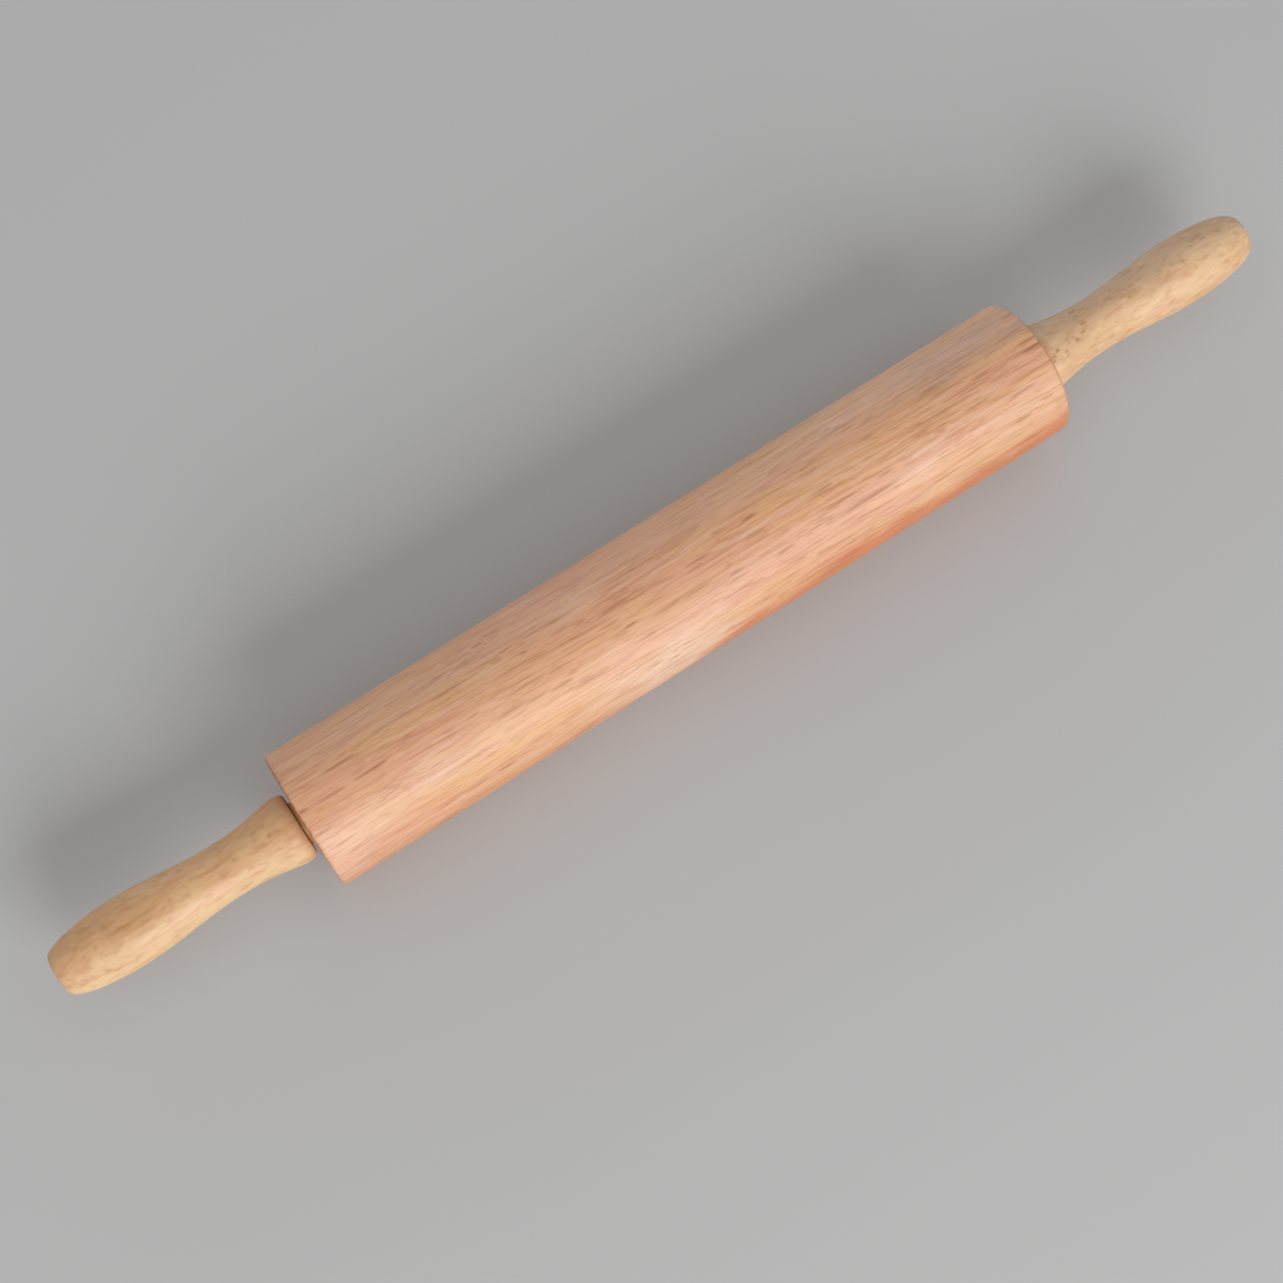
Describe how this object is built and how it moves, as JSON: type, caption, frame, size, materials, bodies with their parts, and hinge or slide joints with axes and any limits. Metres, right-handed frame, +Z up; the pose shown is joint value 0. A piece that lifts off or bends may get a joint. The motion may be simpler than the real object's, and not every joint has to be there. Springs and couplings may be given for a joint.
{
  "type": "rolling pin",
  "caption": "Wooden rolling pin for dough: a plain round barrel turns freely on a hidden steel rod, between turned handles with a bead, a slim neck and a palm swell.",
  "frame": {"origin": "on the table under the middle of the pin, midway between the handle tips", "axes": "+X along the pin's axis towards the right handle, +Z up from the table; the barrel rests on Z = 0"},
  "size_m": [0.4856, 0.051, 0.051],
  "materials": {
    "barrel_wood": "pinkish open-pored wood, turned, sanded and oiled",
    "handle_wood": "pale yellow-beige wood, turned, sanded and oiled",
    "bush_nylon": "moulded, satin",
    "washer_nylon": "punched sheet, satin",
    "rod_steel": "drawn bright steel",
    "insert_brass": "turned"
  },
  "bodies": {
    "spindle": {"axle_rod": "rod_steel", "insert_left": "insert_brass", "insert_right": "insert_brass", "handle_left": "handle_wood", "handle_right": "handle_wood"},
    "washers": {"washer_left": "washer_nylon", "washer_right": "washer_nylon"},
    "roller": {"barrel": "barrel_wood", "bush_left": "bush_nylon", "bush_right": "bush_nylon"}
  },
  "joints": [
    {"name": "end_play", "type": "slide", "parent": "spindle", "child": "washers", "axis": [1, 0, 0], "range_m": [-0.0001, 0.0006]},
    {"name": "barrel_spin", "type": "hinge", "parent": "washers", "child": "roller", "pos_m": [-0.00025, 0, 0.0255], "axis": [1, 0, 0], "continuous": true}
  ]
}
